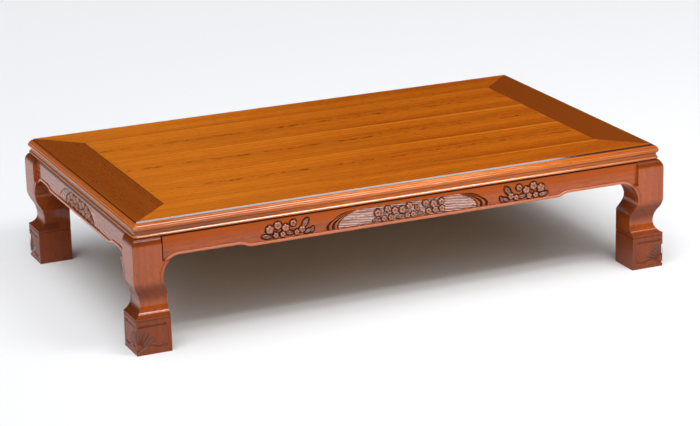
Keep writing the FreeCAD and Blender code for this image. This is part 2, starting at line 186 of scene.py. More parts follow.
def own_place(material):
    """Where a point lies on the piece that has this finish."""
    return material.node_tree.nodes["Texture Coordinate"].outputs["Object"]


def overlaid(material, mask, strength, colour, dull=False):
    """Lays a colour over a finish where a mask says, for stains and for painted light and shade alike, and
    takes the lacquer off there if it is dull.
    """
    tree = material.node_tree
    shader = tree.nodes["Principled BSDF"]
    share = reckon(tree, "MULTIPLY", mask, strength)
    wood = shader.inputs["Base Color"].links[0].from_socket
    feed(tree, shader.inputs["Base Color"], mixed(tree, share, wood, colour))
    if dull:
        gloss = shader.inputs["Coat Weight"]
        earlier = gloss.links[0].from_socket if gloss.links else 1.0
        feed(tree, gloss, reckon(tree, "SUBTRACT", earlier, share, clamp=True))


def mask_group(name):
    """An empty node group that marks places, with the three parts of a place ready in it."""
    tree, given, result = new_group(name, {"Vector": "Vector"}, {"Mask": "Float"})
    return tree, axes(tree, given["Vector"]), result["Mask"]


def box_mask_group(name, high, reach_x, reach_y):
    """Marks what lies below a height and nearer the middle of the table than two distances."""
    tree, split, result = mask_group(name)
    mask = 1.0
    for axis, limit in (("X", reach_x), ("Y", reach_y), ("Z", high)):
        inside = reckon(tree, "LESS_THAN", reckon(tree, "ABSOLUTE", split[axis]), limit)
        mask = reckon(tree, "MULTIPLY", inside, mask)
    feed(tree, result, mask)
    return tree


field_width = 0.20667


def board_figure_group():
    """Marks on one board: a pale strip at its far edge, a deeper tone at its near edge with painted shade
    growing toward the right end, flecks along it.
    """
    outputs = {"Pale": "Float", "Deep": "Float", "Fleck": "Float"}
    tree, given, result = new_group("board figure", {"Vector": "Vector", "Near": "Float"}, outputs)
    split = axes(tree, given["Vector"])
    across = reckon(tree, "DIVIDE", reckon(tree, "SUBTRACT", split["Y"], given["Near"]), field_width)
    strip = reckon(tree, "SUBTRACT", across, ramp(tree, split["X"], -0.3, 0.65, 0.984, 0.918))
    feed(tree, result["Pale"], ramp(tree, strip, 0.0, 0.012))
    near_tone = ramp(tree, across, 0.30, 0.0, 0.0, 0.75)
    # Painted shade: the boards darken toward the right end.
    right_painted_shade = ramp(tree, split["X"], -0.5, 0.8, 0.0, 0.45)
    feed(tree, result["Deep"], reckon(tree, "ADD", near_tone, right_painted_shade))
    drift = reckon(tree, "SUBTRACT", stretched_noise(tree, given["Vector"], (1.7, 0.0, 0.0), 1.0), 0.5)
    wander = reckon(tree, "MULTIPLY", drift, 0.12)
    row = reckon(tree, "SUBTRACT", reckon(tree, "ADD", across, wander), 0.50)
    near_row = ramp(tree, reckon(tree, "ABSOLUTE", row), 0.045, 0.012)
    spots = ramp(tree, stretched_noise(tree, given["Vector"], (34.0, 300.0, 1.0), 1.0), 0.55, 0.63)
    feed(tree, result["Fleck"], reckon(tree, "MULTIPLY", spots, near_row))
    return tree


board_figure = board_figure_group()
pale_strip = (0.80, 0.260, 0.024, 1.0)
board_joint = box_mask_group("board joint", 0.33992, 0.7262, 0.4262)
board_side = box_mask_group("board side", 0.33992, 0.7600, 0.4600)
end_side = box_mask_group("end board side", 0.3381, 0.7600, 0.4600)
joint_dark = (0.030, 0.008, 0.003, 1.0)
edge_dark = (0.022, 0.007, 0.005, 1.0)
near_edge_and_painted_shade_share = 0.48
# Each painted light and shade along the top, paler toward the left and darker toward the right: where it
# starts, where it is full, its strength and its colour.
painted_light_along_top = ((-0.1, 0.65, 0.14, top_dark), (0.15, -0.50, 0.22, pale_strip))
bevel_share = 0.95


def board_wood(name, tones, grain_turn, grain_start, line_size, figure, near=None, pale=0.40, flecks=0.0):
    """Wood of one top board, with dark glue lines in its inner arrises and a dark line on its outer bevel; a
    long board also gets painted light and painted shade along its length.
    """
    material = lacquered_wood(name, tones, grain_turn, grain_start, line_size, figure)
    tree = material.node_tree
    place = own_place(material)
    dark, pore = tones[1:]
    if near is not None:
        marks = grouped(tree, board_figure, {"Vector": place, "Near": near})
        # The deeper tone at each board's near edge, with painted shade toward the right end.
        overlaid(material, marks["Deep"], near_edge_and_painted_shade_share, dark)
        overlaid(material, marks["Pale"], pale, pale_strip)
        # Painted light toward the left end and painted shade toward the right end of the top.
        along = axes(tree, place)["X"]
        for first, last, share, tone in painted_light_along_top:
            overlaid(material, ramp(tree, along, first, last, eased=False), share, tone)
        overlaid(material, marks["Fleck"], flecks, pore)
    joint = grouped(tree, board_joint, {"Vector": place})["Mask"]
    side = grouped(tree, end_side if near is None else board_side, {"Vector": place})["Mask"]
    overlaid(material, reckon(tree, "SUBTRACT", side, joint), bevel_share, edge_dark)
    overlaid(material, joint, 1.0, joint_dark, dull=True)
    return material


def paint(node, material):
    """Gives a CAD node its finish."""
    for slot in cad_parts[node].material_slots:
        slot.material = material


def stand_alone():
    """Leaves nothing selected, so that the next operator acts on one piece."""
    bpy.ops.object.select_all(action="DESELECT")


def take(piece):
    """Makes one piece the only one that the next operator acts on."""
    stand_alone()
    piece.select_set(True)
    bpy.context.view_layer.objects.active = piece


def copy_of(piece, name):
    """A copy of a piece with a mesh of its own."""
    other = piece.copy()
    other.data = piece.data.copy()
    other.name = name
    bpy.context.collection.objects.link(other)
    return other


def placed(piece):
    """Puts a piece's place, turn and size into its mesh."""
    take(piece)
    bpy.ops.object.transform_apply(location=True, rotation=True, scale=True)
    return piece


def apply_modifier(piece, kind, **values):
    """Changes a piece's mesh for good with one modifier."""
    take(piece)
    modifier = piece.modifiers.new(kind.lower(), kind)
    for name, value in values.items():
        setattr(modifier, name, value)
    bpy.ops.object.modifier_apply(modifier=modifier.name)


def edit_all(piece, operator, **values):
    """Runs an edit-mode operator on the whole mesh of one piece."""
    take(piece)
    bpy.ops.object.mode_set(mode="EDIT")
    bpy.ops.mesh.select_all(action="SELECT")
    operator(**values)
    bpy.ops.object.mode_set(mode="OBJECT")


def finish_piece(piece, material, slot, *nodes):
    """Gives a piece its finish, its body and the CAD nodes that it stands for."""
    piece.data.materials.clear()
    piece.data.materials.append(material)
    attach(piece, "root")
    if nodes:
        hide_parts(*nodes)


def smooth(piece, degrees):
    """Rounds the shading over every edge flatter than an angle."""
    take(piece)
    bpy.ops.object.shade_smooth_by_angle(angle=math.radians(degrees))


def solid_copy(node, name):
    """A copy of a CAD node with its loose triangles joined up."""
    piece = copy_of(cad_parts[node], name)
    piece.parent = None
    piece.rotation_mode = "XYZ"
    for key in list(piece.keys()):
        del piece[key]
    take(piece)
    bpy.ops.mesh.customdata_custom_splitnormals_clear()
    edit_all(piece, bpy.ops.mesh.remove_doubles, threshold=0.00001)
    return piece


def cut(piece, cutter):
    """Takes the shape of a cutter out of a piece."""
    apply_modifier(piece, "BOOLEAN", operation="DIFFERENCE", solver="MANIFOLD", object=cutter)
    bpy.data.objects.remove(cutter)


def by_side(long, short):
    """A value for each side of the table: one for the long sides and one for the ends."""
    return {"front": long, "back": long, "left": short, "right": short}


# Each field board: where its grain starts and how strong its pale strip is.
field_boards = {"field_board_1": ((0.31, 0.113, 0.02), 0.42), "field_board_2": ((0.36, -0.0937, 0.02), 0.38),
                "field_board_3": ((0.42, -0.3003, 0.02), 0.12)}
fleck_share = 0.95
for number, (board, (start, pale)) in enumerate(field_boards.items()):
    paint(board, board_wood(board + " wood", top_tones, along_x, start, 0.019, 0.10,
                            (number - 1.5) * field_width, pale, fleck_share))
side_turn = {"front": 0.0, "right": math.pi / 2, "back": math.pi, "left": -math.pi / 2}
side_grain = by_side(along_x, along_y)
board_edge = by_side(0.430, 0.730)
board_top = 0.340
bevel_foot = 0.3362
bevel_run = 0.0033
cutter_length = 2.0
border_finish = {
    "front": (top_tones, along_x, (4.40, 0.231, 0.12), 0.017, 0.08, -2.5 * field_width),
    "back": (top_tones, along_x, (5.63, 0.618, 0.15), 0.017, 0.08, 1.5 * field_width),
    "left": (left_end_tones, along_y, (0.9, 0.35, 0.2), 0.009, 0.05),
    "right": (right_end_painted_shade_tones, along_y, (2.3, 0.71, 0.3), 0.009, 0.05),
}
board_slot = by_side("top_board_wood", "end_board_wood")


def long_cutter(side, middle, tilt, breadth, thick):
    """A long flat cutter, laid out for the front and turned to one side of the table."""
    stand_alone()
    bpy.ops.mesh.primitive_cube_add(size=1.0, location=middle, rotation=(tilt, 0.0, 0.0))
    cutter = bpy.context.object
    cutter.scale = (cutter_length, breadth, thick)
    placed(cutter)
    cutter.rotation_euler = (0.0, 0.0, side_turn[side])
    return placed(cutter)


def bevel_cutter(side):
    """A cutter whose lower face is the bevel along the outer edge of one border board."""
    slope = math.atan2(board_top - bevel_foot, bevel_run)
    thick = 0.010
    breadth = 0.020
    middle = (0.0, -board_edge[side] + bevel_run / 2 - math.sin(slope) * thick / 2,
              (bevel_foot + board_top) / 2 + math.cos(slope) * thick / 2)
    return long_cutter(side, middle, slope, breadth, thick)


for side, finish in border_finish.items():
    board = solid_copy("border_board_" + side, side + "_border_board")
    cut(board, bevel_cutter(side))
    smooth(board, 30)
    finish_piece(board, board_wood(side + " border board wood", *finish), board_slot[side],
                 "border_board_" + side)

# Edge moulding: four lengths of the same wood, run with a reeded nose, a cove and a lower bead.
# They are tongued into the core and mitred at the corners, then lacquered with the top.
# Each round: how far out and how high its centre is, its radius, and the width and tilt of the flat on it.
moulding_rounds = {
    "lower reed": (0.00703, 0.32869, 0.003753, 0.0022, 41.0),
    "nose": (0.00804, 0.32350, 0.005962, 0.0024, 41.0),
    "bead": (0.00769, 0.30378, 0.003791, 0.0030, 36.0),
}
cove_foot = 0.3074
cove_head = 0.3190
cove_fade = 0.0035
cove_painted_shade = (0.110, 0.040, 0.022, 1.0)
cove_shade_share = 0.5
moulding_tones = ((0.88, 0.245, 0.014, 1.0), (0.40, 0.080, 0.004, 1.0), top_pore)
moulding_gloss = {"Coat IOR": 1.56, "Coat Roughness": 0.04}
# Each painted shade toward an end of the moulding: where it starts, where it is full, and its strength.
end_painted_shades = ((-0.22, -0.55, 0.62), (0.12, 0.72, 0.80))


def flat_cutter(side, out, up, radius, width, degrees):
    """A cutter that planes a narrow flat on the upper side of one round of the moulding."""
    tilt = math.radians(degrees)
    thick = 0.006
    reach = radius - width ** 2 / (8 * radius) + thick / 2
    middle = (0.0, -board_edge[side] - out - math.cos(tilt) * reach, up + math.sin(tilt) * reach)
    return long_cutter(side, middle, math.pi / 2 - tilt, 1.3 * width, thick)


def cove_mask_group():
    """Marks the hollow of the moulding toward the left end, where painted shade makes it darker than the
    rounds.
    """
    tree, split, result = mask_group("cove")
    below = ramp(tree, split["Z"], cove_head + cove_fade, cove_head)
    above = reckon(tree, "GREATER_THAN", split["Z"], cove_foot)
    toward_left = ramp(tree, split["X"], -0.60, -0.25, 1.0, 0.0, eased=False)
    hollow = reckon(tree, "MULTIPLY", below, above)
    feed(tree, result, reckon(tree, "MULTIPLY", hollow, toward_left))
    return tree


cove_mask = cove_mask_group()
for side, turn in side_grain.items():
    moulding = solid_copy("edge_moulding_" + side, side + "_edge_moulding")
    for shape in moulding_rounds.values():
        cut(moulding, flat_cutter(side, *shape))
    smooth(moulding, 12)
    finish = lacquered_wood("edge moulding " + side, moulding_tones, turn, (0.77, 0.19, 0.4), 0.008, 0.02)
    tree = finish.node_tree
    along = axes(tree, own_place(finish))["X"]
    # Painted shade toward both ends of the moulding.
    for first, last, share in end_painted_shades:
        overlaid(finish, ramp(tree, along, first, last, eased=False), share, top_dark)
    # Painted shade in the cove under the nose.
    cove = grouped(tree, cove_mask, {"Vector": own_place(finish)})["Mask"]
    overlaid(finish, cove, cove_shade_share, cove_painted_shade)
    feed_all(tree, tree.nodes["Principled BSDF"], moulding_gloss)
    finish_piece(moulding, finish, "moulding_wood", "edge_moulding_" + side)

# Core, rails and battens: a flat core panel carries the boards, and mitred rails thicken its rim underneath.
# Three battens screwed across the underside keep it flat.
# All of it is bare joinery wood, planed and left pale.
bare_tones = ((0.46, 0.30, 0.15, 1.0), (0.30, 0.17, 0.075, 1.0), (0.16, 0.085, 0.035, 1.0))


def bare_wood(name, grain_turn, grain_start, line_size):
    """Planed wood with no finish on it."""
    material = lacquered_wood(name, bare_tones, grain_turn, grain_start, line_size, 0.05)
    tree = material.node_tree
    feed_all(tree, tree.nodes["Principled BSDF"], {"Coat Weight": 0.0, "Specular IOR Level": 0.25})
    return material


paint("top_core", bare_wood("core wood", along_x, (0.2, 0.5, 0.1), 0.014))
for side, turn in side_grain.items():
    paint("rim_rail_" + side, bare_wood("rail wood " + side, turn, (0.6, 0.3, 0.2), 0.010))
for number, batten in enumerate(("left", "middle", "right")):
    paint("batten_" + batten, bare_wood("batten wood " + batten, along_y, (0.8 * number, 0.3, 0.4), 0.010))

# Aprons: solid wood stained redder than the top, with a stepped lower edge and a bead worked along it.
# They are tenoned into the legs.
# The long ones have a hollow cut at each side of the panel for a spray of blossom.
base_light = (0.44, 0.080, 0.006, 1.0)
base_dark = (0.18, 0.028, 0.003, 1.0)
base_pore = (0.08, 0.013, 0.002, 1.0)
glaze_and_shade = (0.020, 0.006, 0.004, 1.0)
bead_highlight = (0.66, 0.22, 0.100, 1.0)
# The upper band of each long apron is painted warmer and its lacquer dulled, so that the pale reflection
# shows only lower down: painted light.
upper_painted_light = (0.40, 0.072, 0.004, 1.0)
warm_foot = 0.262
warm_head = 0.284
warm_share = 0.7
apron_face = by_side(0.440, 0.740)
# Where the painted shadow at a leg joint starts, the height of the painted shadow under the top, and the
# strength of both.
apron_end = by_side(0.6668, 0.3718)
shadow_height = by_side(0.2964, 0.2918)
shadow_share = by_side(0.9, 0.65)
deepest_cut = -0.0035
# Each band by the bead, a painted shadow in the groove above it and a painted highlight on its face: how far
# out it starts and ends, its strength and its colour.
bead_bands = ((0.00012, 0.0014, 0.75, glaze_and_shade), (0.0018, 1.0, 0.5, bead_highlight))
# Each glaze, which is also painted shade in the hollows: the depth where it is full, the depth where it ends,
# and its strength.
long_apron_glaze_and_shade = (-0.0018, -0.0002, 0.85)
short_apron_glaze_and_shade = (-0.0016, -0.0003, 0.62)
end_apron_gloss = 1.72


def carving_depth_group():
    """Marks what lies below a depth of cut, measured from the middle of the table along Y."""
    inputs = {"Vector": "Vector", "Deep": "Float", "Shallow": "Float", "Least": "Float"}
    tree, given, result = new_group("carving depth", inputs, {"Mask": "Float"})
    reach = reckon(tree, "ABSOLUTE", axes(tree, given["Vector"])["Y"])
    below = ramp(tree, reach, given["Deep"], given["Shallow"], 1.0, 0.0)
    beyond = reckon(tree, "GREATER_THAN", reach, given["Least"])
    feed(tree, result["Mask"], reckon(tree, "MULTIPLY", below, beyond))
    return tree


carving_depth = carving_depth_group()


def carved_wood(name, side, glaze_and_shade_depths, grain_start, light=base_light, coat_index=1.5, bead=False):
    """Apron wood whose hollows hold a dark glaze, as left by staining and rubbing back, which also stands in
    for the shade in the hollows. It also gets painted shadow under the top and at one leg joint, painted
    shadow and highlight at the bead when it has one, and on the long aprons a warmer, duller upper band as
    painted light.
    """
    tones = (light, base_dark, base_pore)
    material = lacquered_wood(name, tones, side_grain[side], grain_start, 0.010, 0.05)
    tree = material.node_tree
    turn = tree.nodes.new("ShaderNodeMapping")
    feed_all(tree, turn, {"Vector": own_place(material), "Rotation": (0.0, 0.0, -side_turn[side])})
    turned = turn.outputs["Vector"]
    split = axes(tree, turned)

    def depth_mask(least, deep, shallow):
        face = apron_face[side]
        limits = {"Vector": turned, "Least": face + least, "Deep": face + deep, "Shallow": face + shallow}
        return grouped(tree, carving_depth, limits)["Mask"]

    # On the long aprons, a warmer upper band with its lacquer dulled: painted light.
    if bead and side in ("front", "back"):
        upper = ramp(tree, split["Z"], warm_foot, warm_head, eased=False)
        overlaid(material, upper, warm_share, upper_painted_light, dull=True)
    # Dark glaze in the hollows, which is also painted shade there.
    deep, shallow, strength = glaze_and_shade_depths
    overlaid(material, depth_mask(deepest_cut, deep, shallow), strength, glaze_and_shade, dull=True)
    # Painted shadow and painted highlight at the bead.
    if bead:
        for low, high, share, colour in bead_bands:
            overlaid(material, depth_mask(low, 0.75 * high, high), share, colour)
    tree.nodes["Principled BSDF"].inputs["Coat IOR"].default_value = coat_index
    # Painted shadow: a dark line under the top and a dark line where the apron meets the leg at one end.
    under_top = reckon(tree, "GREATER_THAN", split["Z"], shadow_height[side])
    to_end = reckon(tree, "MULTIPLY", split["X"], -1.0)
    at_leg = reckon(tree, "GREATER_THAN", to_end, apron_end[side])
    overlaid(material, reckon(tree, "MAXIMUM", under_top, at_leg), shadow_share[side], glaze_and_shade, dull=True)
    return material


for number, side in enumerate(("left", "right")):
    start = (1.3 * number, 0.4, 0.1)
    paint("apron_" + side, carved_wood("apron wood " + side, side, short_apron_glaze_and_shade, start,
                                       coat_index=end_apron_gloss, bead=True))

# Each blossom: its place along and up, and its radius.
# Each leaf: its place, its half length, its half width and its turn in degrees.
spray_middle = 0.3365
spray_blossoms = (
    (0.047, 0.2710, 0.0115), (0.025, 0.2790, 0.0110), (0.004, 0.2705, 0.0105), (-0.017, 0.2800, 0.0090),
    (0.031, 0.2545, 0.0080), (0.012, 0.2545, 0.0080), (-0.041, 0.2600, 0.0090), (-0.026, 0.2545, 0.0075),
)
spray_leaves = (
    (0.0545, 0.2535, 0.016, 0.0065, 8.0), (-0.007, 0.2555, 0.012, 0.0065, 12.0),
    (-0.050, 0.2755, 0.015, 0.0080, -55.0), (-0.057, 0.2530, 0.012, 0.0055, 160.0),
    (-0.0685, 0.2550, 0.009, 0.0050, 115.0),
)
hollow_depth = 0.0030
hollow_margin = 0.0031
cutter_lift = 0.00013


def ball(segments, rings, place, turn, size):
    """A round solid stretched to a size."""
    stand_alone()
    bpy.ops.mesh.primitive_uv_sphere_add(segments=segments, ring_count=rings, radius=1.0, location=place,
                                         rotation=turn)
    piece = bpy.context.object
    piece.scale = size
    return placed(piece)


def gouge(x, z, half_width, half_height, degrees):
    """A flat round cutter that leaves a dished hollow in the front apron."""
    return ball(24, 12, (x, -apron_face["front"] - cutter_lift, z), (0.0, -math.radians(degrees), 0.0),
                (half_width + hollow_margin, hollow_depth, half_height + hollow_margin))


front_apron = solid_copy("apron_front", "front_apron")
for outward in (-1, 1):
    for along, z, radius in spray_blossoms:
        cut(front_apron, gouge(outward * (spray_middle + along), z, radius, radius, 0.0))
    for along, z, half_length, half_width, degrees in spray_leaves:
        x = outward * (spray_middle + along)
        cut(front_apron, gouge(x, z, half_length, half_width, outward * degrees))
smooth(front_apron, 30)
back_apron = copy_of(front_apron, "back_apron")
back_apron.rotation_euler = (0.0, 0.0, side_turn["back"])
placed(back_apron)
for side, apron, start in (("front", front_apron, (0.4, 0.2, 0.1)), ("back", back_apron, (2.1, 0.7, 0.1))):
    finish_piece(apron, carved_wood(side + " apron wood", side, long_apron_glaze_and_shade, start, bead=True),
                 "base_wood", "apron_" + side)

# Panel ground: the sunk panel in each apron has curved reeds at both ends.
# On the long aprons fine waved lines fill the space between them.
# All of it is cut in the apron's own wood with gouges, and the dark glaze stays in the grooves, where it is
# also painted shade.
panel_foot = 0.2458
panel_head = 0.2877
floor_depth = -0.0020
ground_rise = 0.0002
long_end = ((0.2375, 0.0), (0.2050, 0.72), (0.1605, 1.0))
long_inner = ((0.1940, 0.0), (0.1710, 0.72), (0.1430, 1.0))
short_end = ((0.1705, 0.0), (0.1333, 0.72), (0.0825, 1.0))
short_inner = ((0.1190, 0.0), (0.0930, 0.72), (0.0600, 1.0))
reed_rise = 0.0016
line_rise = 0.0013
line_pitch = 0.0044
line_slope = 0.17
wave_rise = 0.0003
wave_length = 0.042
blossom_margin = 1.18
margin_fade = 0.1
# The waved lines and the short panels are painted pale and pinkish: a painted highlight on their ridges.
ground_highlight = (0.90, 0.55, 0.45, 1.0)
panel_grain = (0.4, 0.2, 0.1)
reed_glaze_and_shade = (-0.0017, -0.0004, 0.92)
long_ground_glaze_and_shade = (-0.0018, -0.0010, 0.82)
short_ground_glaze_and_shade = (-0.0018, -0.0010, 0.65)
middle_spray = (
    ((-0.086, 0.2710, 0.0100), (-0.058, 0.2780, 0.0095), (-0.038, 0.2705, 0.0095), (-0.017, 0.2700, 0.0100),
     (0.003, 0.2775, 0.0090), (0.049, 0.2775, 0.0095), (0.072, 0.2730, 0.0100), (0.094, 0.2755, 0.0095),
     (-0.069, 0.2540, 0.0080), (-0.050, 0.2540, 0.0080), (-0.003, 0.2535, 0.0078), (0.013, 0.2540, 0.0078),
     (0.057, 0.2560, 0.0085), (0.076, 0.2570, 0.0085), (0.095, 0.2575, 0.0085)),
    ((-0.091, 0.2530, 0.013, 0.0060, 10.0), (-0.024, 0.2535, 0.013, 0.0060, 15.0),
     (0.026, 0.2680, 0.015, 0.0080, -50.0), (0.033, 0.2535, 0.012, 0.0060, 165.0),
     (-0.074, 0.2640, 0.010, 0.0050, 40.0)),
)


def joined(pieces, name):
    """One piece made of several."""
    stand_alone()
    for piece in pieces:
        piece.select_set(True)
    bpy.context.view_layer.objects.active = pieces[0]
    bpy.ops.object.join()
    result = bpy.context.object
    result.name = name
    result.data.name = name
    return result


def bow(points, share):
    """Distance from the panel's middle on a bowed end line, at a share of the panel's height."""
    (foot, _), (bend, lift), (head, _) = points
    swell = (bend - foot - (head - foot) * lift) / (lift * (lift - 1.0))
    return foot + (head - foot) * share + swell * share * (share - 1.0)


def raised_sheet(name, columns, rows, place, weld=0.00002, thickness=0.0003):
    """A thin sheet in relief: place gives along, up and out for each point of a grid from 0 to 1."""
    stand_alone()
    bpy.ops.mesh.primitive_grid_add(x_subdivisions=columns, y_subdivisions=rows, size=2.0)
    sheet = bpy.context.object
    sheet.name = name
    for point in sheet.data.vertices:
        along, up, out = place((point.co.x + 1.0) / 2, (point.co.y + 1.0) / 2)
        point.co = (along, -out, up)
    edit_all(sheet, bpy.ops.mesh.remove_doubles, threshold=weld)
    apply_modifier(sheet, "SOLIDIFY", thickness=thickness, offset=-1.0)
    return sheet


def reeds(name, face, outer, inner, count, hand, sharp):
    """Curved reeds between two bowed lines at one end of a panel."""
    def place(across, share):
        if hand > 0:
            across = 1.0 - across
        lift = max(0.0, (1.0 + sharp) * abs(math.sin(math.pi * count * across)) - sharp) ** 0.6
        where = bow(outer, share) * (1.0 - across) + bow(inner, share) * across
        out = face + floor_depth + ground_rise + reed_rise * lift
        return (hand * where, panel_foot + (panel_head - panel_foot) * share, out)

    return raised_sheet(name, 10 * count, 24, place)


def waved_lines(name, face, inner):
    """Fine waved lines that fill a panel between its reeds and stop short of the blossom."""
    def place(across, share):
        where = bow(inner, share) * (2.0 * across - 1.0)
        up = panel_foot + (panel_head - panel_foot) * share
        wave = wave_rise * math.sin(math.tau * where / wave_length)
        ridge = abs(math.sin(math.pi * (up + line_slope * where + wave) / line_pitch))
        spare = min(math.hypot(where - along, up - z) / radius for along, z, radius in middle_spray[0])
        lift = max(0.0, 2.5 * ridge - 1.5) ** 0.6 * min(1.0, max(0.0, (spare - blossom_margin) / margin_fade))
        return (where, up, face + floor_depth + ground_rise + line_rise * lift)

    return raised_sheet(name, 150, 96, place)


def to_side(piece, side, name):
    """Turns a piece made for the front so that it lies on another side."""
    piece.rotation_euler = (0.0, 0.0, side_turn[side])
    placed(piece)
    piece.name = name
    return piece


def panel_reeds(side, name, outer, inner, count, sharp):
    """The reeds at both ends of one panel."""
    ends = [reeds(word + " reeds", apron_face[side], outer, inner, count, hand, sharp)
            for word, hand in (("left", -1), ("right", 1))]
    return to_side(joined(ends, name), side, name)


def finish_ground(piece, name, side, glaze_and_shade_depths, light=base_light):
    """Gives a piece of panel ground its shading and its carved wood."""
    smooth(piece, 50)
    finish_piece(piece, carved_wood(name, side, glaze_and_shade_depths, panel_grain, light), "base_wood")


for side in ("front", "back"):
    ends = panel_reeds(side, side + "_panel_reeds", long_end, long_inner, 3, 1.4)
    finish_ground(ends, side + " reed wood", side, reed_glaze_and_shade)
    ground = to_side(waved_lines("lines", apron_face[side], long_inner), side, side + "_panel_ground")
    finish_ground(ground, side + " panel wood", side, long_ground_glaze_and_shade, ground_highlight)
for side in ("left", "right"):
    ground = panel_reeds(side, side + "_panel_ground", short_end, short_inner, 4, 1.6)
    finish_ground(ground, side + " panel wood", side, short_ground_glaze_and_shade, ground_highlight)

# Blossom and leaves: sprays of five-petalled blossom and pointed leaves, left standing in the apron's wood.
# The ground round them is cut away, so that they stand a few millimetres out of their hollows.
petal_radius = 0.47
petal_ring = 0.53
petal_height = 0.36
petal_tilt = math.radians(-28)
petal_back = 0.06
boss_radius = 0.17
boss_height = 0.20
boss_out = 0.16
blossom_spread = 1.12
blossom_turn = 31.0
leaf_swell = 0.8
leaf_rise = 0.34
vein_depth = 0.14
vein_width = 0.13
ripple_rise = 0.05
# The blossoms and leaves are painted pale as a painted highlight, and their glaze grows from the ground up
# their sides as painted shade.
ridge_highlight = (0.54, 0.200, 0.105, 1.0)
end_ridge_highlight = (0.44, 0.21, 0.12, 1.0)
spray_grain = (0.7, 0.3, 0.1)
spray_gloss = 1.8
long_spray_glaze_and_shade = (-0.0004, 0.0042, 0.84)
short_spray_glaze_and_shade = (-0.0016, 0.0012, 0.45)
long_spray_swell = 0.0180
short_spray_swell = 0.0115


def blossom_pattern():
    """One blossom of unit radius on the front apron's face, with its petals round a small boss."""
    flower = ball(14, 9, (0.0, 0.0, petal_ring), (petal_tilt, 0.0, 0.0),
                  (petal_radius, petal_height, petal_radius * 0.96))
    edit_all(flower, bpy.ops.mesh.bisect, plane_co=(0.0, petal_back, 0.0), plane_no=(0.0, 1.0, 0.0),
             use_fill=True, clear_outer=True)
    edit_all(flower, bpy.ops.mesh.spin, steps=4, dupli=True, angle=math.tau * 4 / 5, center=(0.0, 0.0, 0.0),
             axis=(0.0, 1.0, 0.0))
    boss = ball(12, 7, (0.0, -boss_out, 0.0), (0.0, 0.0, 0.0), (boss_radius, boss_height, boss_radius))
    flower = joined([flower, boss], "blossom")
    edit_all(flower, bpy.ops.mesh.normals_make_consistent, inside=False)
    smooth(flower, 50)
    return flower


def leaf_pattern():
    """One pointed leaf along X, of unit half length and half width, with a middle vein and side veins."""
    def place(share, across):
        along = 2.0 * share - 1.0
        side = 2.0 * across - 1.0
        width = (1.0 - along * along) ** 0.75 * (1.0 - 0.25 * along)
        swell = (1.0 - abs(side) ** 2.4) * (1.0 - along * along) ** 0.5
        vein = math.exp(-(side / vein_width) ** 2) * (1.0 - along * along)
        side_veins = math.sin(9.0 * (along + 0.5 * abs(side)))
        ripple = ripple_rise * side_veins * (1.0 - abs(side)) * (1.0 - along * along)
        return (along, width * side, leaf_rise * swell - vein_depth * vein + ripple)

    pattern = raised_sheet("leaf", 22, 14, place, 0.001, 0.08)
    smooth(pattern, 50)
    return pattern


blossom = blossom_pattern()
leaf = leaf_pattern()


def spray(name, side, blossoms, leaves, depth, swell):
    """A spray of blossoms and leaves standing on the ground of one apron."""
    ground = -(apron_face[side] + depth)
    pieces = []
    for number, (along, z, radius) in enumerate(blossoms):
        flower = copy_of(blossom, "flower")
        flower.location = (along, ground, z)
        flower.rotation_euler = (0.0, math.radians(blossom_turn * number), 0.0)
        flower.scale = (blossom_spread * radius, swell, blossom_spread * radius)
        pieces.append(flower)
    for along, z, half_length, half_width, degrees in leaves:
        blade = copy_of(leaf, "blade")
        blade.location = (along, ground, z)
        blade.rotation_euler = (0.0, -math.radians(degrees), 0.0)
        blade.scale = (half_length, leaf_swell * swell, half_width)
        pieces.append(blade)
    for piece in pieces:
        placed(piece)
    return to_side(joined(pieces, name), side, name)


right_spray = (tuple((spray_middle + row[0],) + row[1:] for row in spray_blossoms),
               tuple((spray_middle + row[0],) + row[1:] for row in spray_leaves))
left_spray = (tuple((-along, z, radius) for along, z, radius in right_spray[0]),
              tuple((-row[0],) + row[1:-1] + (-row[-1],) for row in right_spray[1]))
short_spray = (
    ((-0.084, 0.2640, 0.0105), (-0.060, 0.2770, 0.0100), (-0.036, 0.2720, 0.0105), (-0.010, 0.2780, 0.0095),
     (0.012, 0.2700, 0.0105), (0.036, 0.2780, 0.0095), (0.060, 0.2710, 0.0105), (0.082, 0.2640, 0.0100),
     (-0.062, 0.2555, 0.0090), (-0.020, 0.2560, 0.0090), (0.034, 0.2560, 0.0090), (0.060, 0.2535, 0.0075)),
    ((-0.098, 0.2525, 0.014, 0.0060, 25.0), (-0.041, 0.2545, 0.012, 0.0060, -20.0),
     (0.007, 0.2535, 0.013, 0.0060, 12.0), (0.099, 0.2525, 0.014, 0.0060, 155.0),
     (0.080, 0.2520, 0.011, 0.0050, 175.0)),
)
long_sprays = {"left": (*left_spray, -0.0016), "middle": (*middle_spray, -0.0018),
               "right": (*right_spray, -0.0016)}
for side in ("front", "back"):
    for name, layout in long_sprays.items():
        piece = spray("%s_%s_spray" % (side, name), side, *layout, long_spray_swell)
        finish = carved_wood("%s %s spray wood" % (side, name), side, long_spray_glaze_and_shade, spray_grain,
                             ridge_highlight, spray_gloss)
        finish_piece(piece, finish, "base_wood")
for side in ("left", "right"):
    piece = spray(side + "_spray", side, *short_spray, floor_depth, short_spray_swell)
    finish_piece(piece, carved_wood(side + " spray wood", side, short_spray_glaze_and_shade, spray_grain, end_ridge_highlight,
                                    spray_gloss), "base_wood")
bpy.data.objects.remove(blossom)
bpy.data.objects.remove(leaf)

